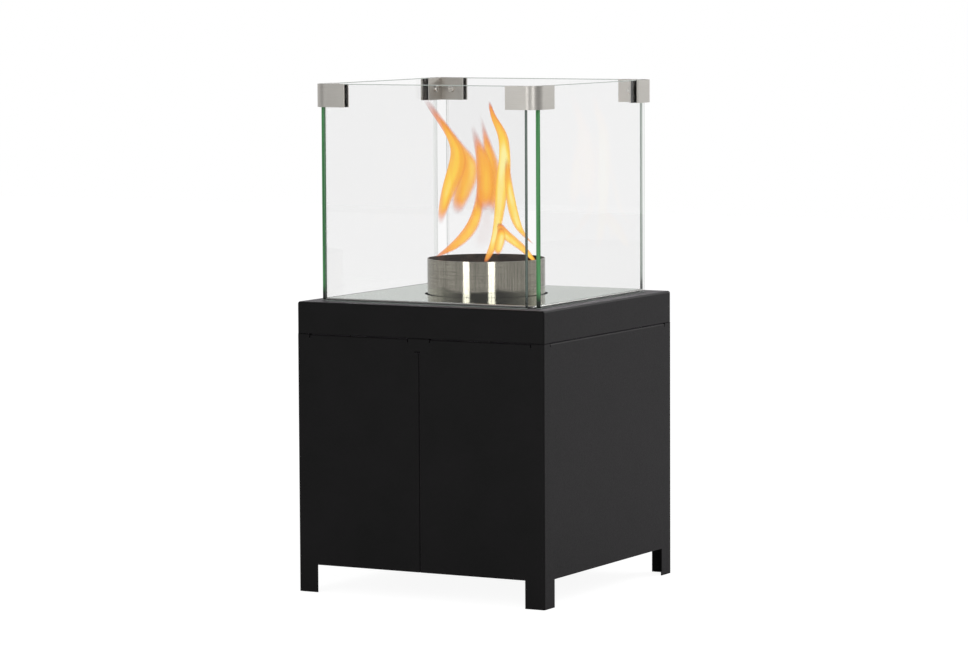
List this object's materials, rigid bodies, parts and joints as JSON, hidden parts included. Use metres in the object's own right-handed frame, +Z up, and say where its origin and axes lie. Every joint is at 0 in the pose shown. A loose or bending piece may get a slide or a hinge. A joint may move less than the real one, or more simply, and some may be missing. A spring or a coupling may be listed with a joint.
{
  "type": "tabletop fireplace",
  "caption": "Tabletop fireplace for wood pellets: square steel housing on legs, stainless deck, lift-out round burner and open-topped glass wind guard.",
  "frame": {"origin": "on the surface it stands on, under the middle of the housing", "axes": "+Z up, -Y the front, +X the right-hand side seen from the front"},
  "size_m": [0.3, 0.3, 0.548],
  "materials": {
    "black_powder_coat": "fine-texture satin black powder coat",
    "galvanised_steel": "bare galvanised sheet",
    "zinc_plated_fasteners": "bright zinc plate",
    "polished_stainless": "bright annealed stainless sheet",
    "clear_tempered_glass": "clear float glass with green polished edges",
    "brushed_stainless": "brushed stainless",
    "stainless_screws": "turned stainless",
    "black_silicone_rubber": "matt heat-proof silicone rubber",
    "burner_stainless": "brushed stainless, sooty inside",
    "fired_stainless": "heat-tinted and sooty stainless",
    "flame": "glowing flame, shown by the visual model only"
  },
  "bodies": {
    "housing": {"shell_left": "black_powder_coat", "shell_right": "black_powder_coat", "seam_screws": "zinc_plated_fasteners", "seam_nuts": "zinc_plated_fasteners", "top_cap": "black_powder_coat", "cap_clips": "galvanised_steel", "cap_screws": "zinc_plated_fasteners", "cap_nuts": "zinc_plated_fasteners", "deck_plate": "polished_stainless", "deck_nuts": "zinc_plated_fasteners", "burner_shelf": "galvanised_steel"},
    "glass_guard": {"glass_pane_front": "clear_tempered_glass", "glass_pane_back": "clear_tempered_glass", "glass_pane_left": "clear_tempered_glass", "glass_pane_right": "clear_tempered_glass", "corner_bracket_front_right": "brushed_stainless", "glass_pads_front_right": "black_silicone_rubber", "clamp_screws_front_right": "stainless_screws", "corner_bracket_front_left": "brushed_stainless", "glass_pads_front_left": "black_silicone_rubber", "clamp_screws_front_left": "stainless_screws", "corner_bracket_back_right": "brushed_stainless", "glass_pads_back_right": "black_silicone_rubber", "clamp_screws_back_right": "stainless_screws", "corner_bracket_back_left": "brushed_stainless", "glass_pads_back_left": "black_silicone_rubber", "clamp_screws_back_left": "stainless_screws"},
    "burner": {"burner_can": "burner_stainless", "pot_lugs": "burner_stainless"},
    "pot": {"fire_pot": "fired_stainless"},
    "grate": {"pellet_grate": "fired_stainless"}
  },
  "joints": [
    {"name": "guard_lift", "type": "slide", "parent": "housing", "child": "glass_guard", "axis": [0, 0, 1], "range_m": [0, 0.3]},
    {"name": "burner_lift", "type": "slide", "parent": "housing", "child": "burner", "axis": [0, 0, 1], "range_m": [0, 0.2]},
    {"name": "pot_lift", "type": "slide", "parent": "burner", "child": "pot", "axis": [0, 0, 1], "range_m": [0, 0.2]},
    {"name": "grate_lift", "type": "slide", "parent": "pot", "child": "grate", "axis": [0, 0, 1], "range_m": [0, 0.18]}
  ]
}
